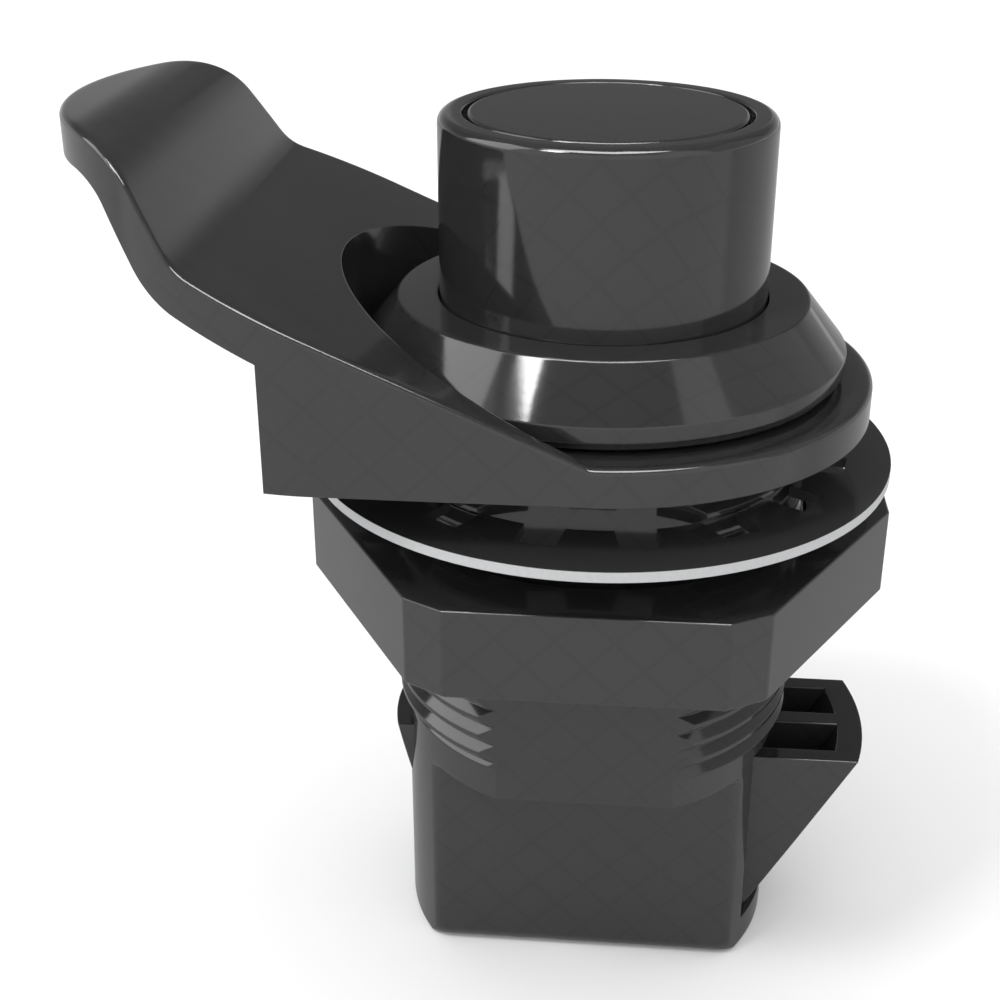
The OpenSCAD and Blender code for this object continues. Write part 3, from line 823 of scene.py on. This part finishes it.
@dataclass
class Coil:
    """A compression spring of round wire."""

    name: str
    mean_radius: float
    wire_radius: float
    start: tuple[float, float, float]
    axis: tuple[float, float, float]
    length: float
    turns: float
    end_turns: float = 0.9

    def wire(self) -> bpy.types.Object:
        """Builds the wire: a helix whose climb eases to nothing over its closed end turns."""
        spin = np.linspace(0, 2 * np.pi * self.turns, int(36 * self.turns))
        share = np.linspace(0, 1, spin.size)
        closed = self.end_turns / self.turns
        pace = np.clip(np.minimum(share, 1 - share) / closed, 0.12, 1)
        climb = np.cumsum(pace)
        climb = (climb - climb[0]) / (climb[-1] - climb[0]) * (self.length - 2 * self.wire_radius) + self.wire_radius
        ahead = np.array(self.axis, float)
        side = np.array([0, 1, 0], float)
        up = np.cross(ahead, side)
        path = (np.array(self.start) + climb[:, None] * ahead
                + self.mean_radius * (np.cos(spin)[:, None] * side + np.sin(spin)[:, None] * up))
        grid = tube(path, self.wire_radius).transpose(1, 0, 2)
        return mesh_from_grid(self.name, grid, Seam.RING)


@dataclass(frozen=True)
class Card:
    """A panel or card of the studio: its middle azimuth, half width and elevations in degrees, and its glow."""

    name: str
    middle: float
    half: float
    low: float
    high: float
    low_glow: float
    high_glow: float

    def cloth(self) -> bpy.types.Material:
        """Builds a glow that changes smoothly from the card's lower edge to its upper edge."""
        material = bpy.data.materials.new(self.name)
        material.use_nodes = True
        tree = material.node_tree
        tree.nodes.clear()
        place = add_node(tree, "ShaderNodeTexCoord").outputs["Object"]
        ahead = add_node(tree, "ShaderNodeVectorMath", {"operation": "NORMALIZE"}, {0: place}).outputs[0]
        height = add_node(tree, "ShaderNodeSeparateXYZ", None, {0: ahead}).outputs[2]
        glow = add_node(tree, "ShaderNodeMapRange", {"interpolation_type": "SMOOTHSTEP"},
                        {0: height, 1: math.sin(math.radians(self.low)), 2: math.sin(math.radians(self.high)),
                         3: self.low_glow, 4: self.high_glow}).outputs[0]
        light = add_node(tree, "ShaderNodeEmission", None, {0: (1, 1, 1, 1), 1: glow})
        add_node(tree, "ShaderNodeOutputMaterial", None, {0: light.outputs[0]})
        return material


@dataclass
class Studio:
    """Camera, pale floor and soft light."""

    camera_mm: tuple[float, float, float] = (3.768, -143.897, 61.938)
    camera_turn: tuple[float, float, float] = (64.434, 0.0, 5.347)
    lens: float = 57.42
    key_from: tuple[float, float, float] = (-0.41, -0.37, 0.83)
    key_size: tuple[float, float] = (0.17, 0.20)
    key_radiance: float = 24.0
    key_distance: float = 0.9
    card_distance: float = 1400.0
    card_step: float = 60.0
    floor_half: float = 3000.0
    floor_paint: float = 0.95
    # painted shade: the floor's colour as seen in mirror images, in front of the latch and behind it
    floor_mirror_shade: tuple[float, float] = (0.65, 0.44)
    cards: list[Card] = field(default_factory=lambda: [
        Card("left_panel", 184.0, 21.0, 15.0, 56.0, 3.3, 3.3),
        Card("right_panel", -28.5, 11.5, 40.0, 58.0, 1.0, 0.9),
        Card("overhead_panel", -90.0, 80.0, 64.0, 84.0, 12.0, 12.0),
        Card("cap_card", 90.5, 7.5, 2.0, 20.0, 0.17, 0.13),
        Card("back_card", 100.5, 62.5, 2.0, 24.0, 0.54, 0.13),
        Card("upper_card", 100.5, 62.5, 24.0, 46.0, 0.13, 0.16),
        Card("right_card", 11.0, 27.0, 6.0, 46.0, 0.42, 0.42),
        Card("roof_card", 90.0, 180.0, 46.0, 88.0, 0.25, 0.25),
    ])

    def camera(self) -> None:
        """Sets the camera where the photograph was taken from."""
        data = bpy.data.cameras.new("camera")
        data.lens = self.lens
        data.sensor_width = 36
        data.clip_start = 0.005
        data.clip_end = 20
        view = bpy.data.objects.new("camera", data)
        view.location = Vector(self.camera_mm) * MM
        view.rotation_euler = [math.radians(a) for a in self.camera_turn]
        bpy.context.scene.collection.objects.link(view)
        bpy.context.scene.camera = view

    def floor(self) -> None:
        """Lays a wide white floor under the latch, with painted shade in the latch's own mirror images: there the
        floor is darker, most of all behind it.
        """
        material = bpy.data.materials.new("painted_floor")
        material.use_nodes = True
        tree = material.node_tree
        shader = tree.nodes["Principled BSDF"]
        mirrored = add_node(tree, "ShaderNodeLightPath").outputs["Is Glossy Ray"]
        place = add_node(tree, "ShaderNodeTexCoord").outputs["Object"]
        depth = add_node(tree, "ShaderNodeSeparateXYZ", None, {0: place}).outputs[1]
        # painted shade: in mirror images only, the floor is painted darker, more so behind the latch
        image = add_node(tree, "ShaderNodeMapRange", {"interpolation_type": "SMOOTHSTEP"},
                         {0: depth, 1: -0.035, 2: 0.015, 3: self.floor_mirror_shade[0], 4: self.floor_mirror_shade[1]}).outputs[0]
        paint = add_node(tree, "ShaderNodeMix", {"data_type": "RGBA"},
                         {0: mirrored, 6: (*[self.floor_paint] * 3, 1), 7: image}).outputs[2]
        tree.links.new(paint, shader.inputs["Base Color"])
        shader.inputs["Roughness"].default_value = 0.9
        shader.inputs["Specular IOR Level"].default_value = 0.1
        half, level = self.floor_half, FLOOR_Z / MM
        sheet = np.array([[[-half, -half, level], [-half, half, level]], [[half, -half, level], [half, half, level]]])
        plane = mesh_from_grid("floor", sheet, Seam.WELDED)
        plane.data.materials.append(material)

    def hang_cards(self) -> None:
        """Hangs bright panels and grey cards round the latch, seen only as mirror images in its faces.

        Each is a piece of a sphere about the latch, and later ones hang further away.
        """
        for place, spec in enumerate(self.cards):
            angle = np.radians(np.linspace(spec.middle - spec.half, spec.middle + spec.half, 61))[:, None]
            rise = np.radians(np.linspace(spec.low, spec.high, 13))[None, :]
            away = np.stack([np.cos(rise) * np.cos(angle), np.cos(rise) * np.sin(angle), np.sin(rise) + 0 * angle],
                            axis=-1)
            sheet = (self.card_distance + self.card_step * place) * away
            index = np.arange(angle.size * rise.size).reshape(angle.size, rise.size)
            faces = np.stack([index[:-1, :-1], index[1:, :-1], index[1:, 1:], index[:-1, 1:]], axis=-1).reshape(-1, 4)
            mesh = bpy.data.meshes.new(spec.name)
            mesh.from_pydata((sheet.reshape(-1, 3) * MM).tolist(), [], faces.tolist())
            mesh.materials.append(spec.cloth())
            card = bpy.data.objects.new(spec.name, mesh)
            bpy.context.scene.collection.objects.link(card)
            card.visible_camera = card.visible_diffuse = card.visible_shadow = card.visible_transmission = False

    def light(self) -> None:
        """Sets a pale world and the key lamp, which is aimed at the latch."""
        world = bpy.data.worlds.new("studio")
        bpy.context.scene.world = world
        world.use_nodes = True
        tree = world.node_tree
        tree.nodes.clear()
        path = add_node(tree, "ShaderNodeLightPath").outputs
        seen = add_node(tree, "ShaderNodeMath", {"operation": "MAXIMUM"},
                        {0: path["Is Camera Ray"], 1: path["Is Transmission Ray"]}).outputs[0]
        seen = add_node(tree, "ShaderNodeMath", {"operation": "MAXIMUM"},
                        {0: seen, 1: path["Is Glossy Ray"]}).outputs[0]
        strength = add_node(tree, "ShaderNodeMapRange", None, {0: seen, 3: 1.05, 4: 1.0}).outputs[0]
        sky = add_node(tree, "ShaderNodeBackground", None, {0: (1, 1, 1, 1), 1: strength})
        add_node(tree, "ShaderNodeOutputWorld", None, {0: sky.outputs[0]})
        width, height = self.key_size
        data = bpy.data.lights.new("key", "AREA")
        data.shape = "RECTANGLE"
        data.size, data.size_y = width, height
        data.energy = self.key_radiance * math.pi * width * height
        lamp = bpy.data.objects.new("key", data)
        towards = Vector(self.key_from).normalized()
        lamp.location = towards * self.key_distance
        lamp.rotation_euler = towards.to_track_quat("Z", "Y").to_euler()
        bpy.context.scene.collection.objects.link(lamp)
        bpy.context.scene.view_settings.view_transform = "Standard"


def main() -> None:
    """Builds the studio, then each sub-assembly in order."""
    logging.basicConfig(level=logging.INFO)
    studio = Studio()
    studio.camera()
    studio.floor()
    studio.hang_cards()
    studio.light()
    black = MouldedPlastic("moulded_black_polycarbonate_abs").build()
    acetal = MouldedPlastic("moulded_natural_acetal", "#d9d5c9", "#cfcabc", 0.4, 1.48).build()
    steel = DrawnSteel("drawn_spring_steel").build()
    strip = CoatedStrip("coated_steel_strip").build()

    knob = PushKnob()
    dress(knob.barrel(), "push_knob", "knob", black)
    dress(knob.cap(), "push_knob", "knob_cap", black)
    dress(Collar().ring(), "case", "collar", black)
    dress(FingerGrip().shell(), "case", "finger_grip", black)
    dress(FixingNut().ring(), "case", "fixing_nut", black)
    dress(Housing().moulding(), "case", "housing", black)
    dress(softened("bolt", "wedge_bolt", 0.35), "slide_bolt", "bolt", black)
    dress(softened("lock_washer", "toothed_washer", 0.06), "case", "lock_washer", strip)
    for coil, node, joint in (
            (Coil("plunger_coil", 10.4, 0.75, (0, 0, -26.9), (0, 0, 1), 17.4, 5.5), "return_spring", "knob_push"),
            (Coil("bolt_coil", 1.9, 0.3, (-16.5, 0, -46.4), (1, 0, 0), 22.5, 13), "bolt_spring", "bolt_slide")):
        wire = dress(coil.wire(), "case", node, steel)
        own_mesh(wire)
    steel_nodes = ("knob_screw", "screw_washer", "retaining_ring", "spring_washer", "spring_pin")
    finishes = {"plunger": acetal, **dict.fromkeys(steel_nodes, steel)}
    for name, finish in finishes.items():
        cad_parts[name].data.materials.clear()
        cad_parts[name].data.materials.append(finish)
        LOG.info("%s keeps its own solid", name)


if __name__ == "__main__":
    main()
